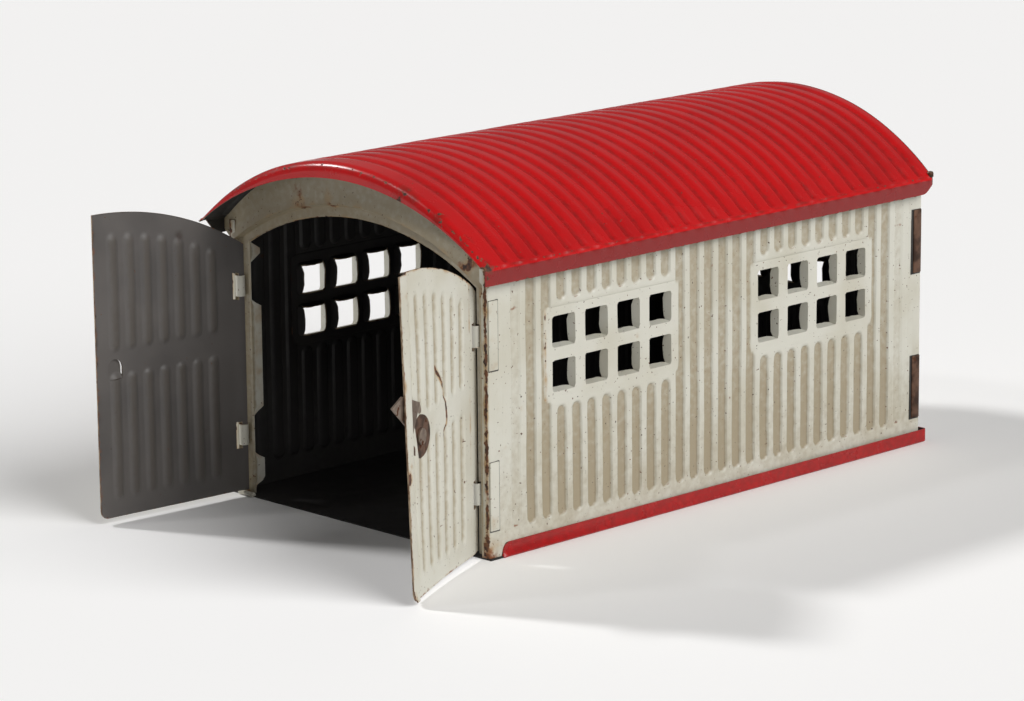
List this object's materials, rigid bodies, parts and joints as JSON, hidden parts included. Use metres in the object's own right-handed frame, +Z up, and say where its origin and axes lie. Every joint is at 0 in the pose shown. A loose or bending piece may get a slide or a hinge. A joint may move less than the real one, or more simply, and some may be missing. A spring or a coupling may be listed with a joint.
{
  "type": "toy garage",
  "caption": "Pressed tinplate toy garage with a corrugated arched roof, paned side windows, hinged double doors and a turning door latch.",
  "frame": {"origin": "on the ground under the middle of the garage body", "axes": "+Z up, -Y out of the doorway, +X to the right when facing the rear from the doorway"},
  "size_m": [0.1188, 0.2215, 0.0976],
  "materials": {
    "red_enamel": "glossy stoved enamel on tinplate, chipped at the edges",
    "cream_enamel": "aged satin enamel on tinplate, worn and spotted with rust",
    "bare_tinplate": "bare tinplate gone brown"
  },
  "bodies": {
    "garage": {"base_tray": "red_enamel", "left_wall": "cream_enamel", "right_wall": "cream_enamel", "rear_wall": "cream_enamel", "front_frame": "cream_enamel", "roof": "red_enamel"},
    "left_leaf": {"left_door": "cream_enamel"},
    "right_leaf": {"right_door": "cream_enamel", "latch_rivet": "bare_tinplate", "latch_washer": "bare_tinplate"},
    "latch": {"latch_arm": "bare_tinplate", "latch_disc": "bare_tinplate"}
  },
  "joints": [
    {"name": "left_door_hinge", "type": "hinge", "parent": "garage", "child": "left_leaf", "pos_m": [-0.0453, -0.0849, 0], "axis": [0, 0, -1], "range_deg": [-94, 36]},
    {"name": "right_door_hinge", "type": "hinge", "parent": "garage", "child": "right_leaf", "pos_m": [0.0453, -0.0849, 0], "axis": [0, 0, 1], "range_deg": [-112, 18]},
    {"name": "latch_turn", "type": "hinge", "parent": "right_leaf", "child": "latch", "pos_m": [0.05897, -0.11874, 0.0406], "axis": [-0.9272, -0.3746, 0], "range_deg": [-21.5, 120]}
  ]
}
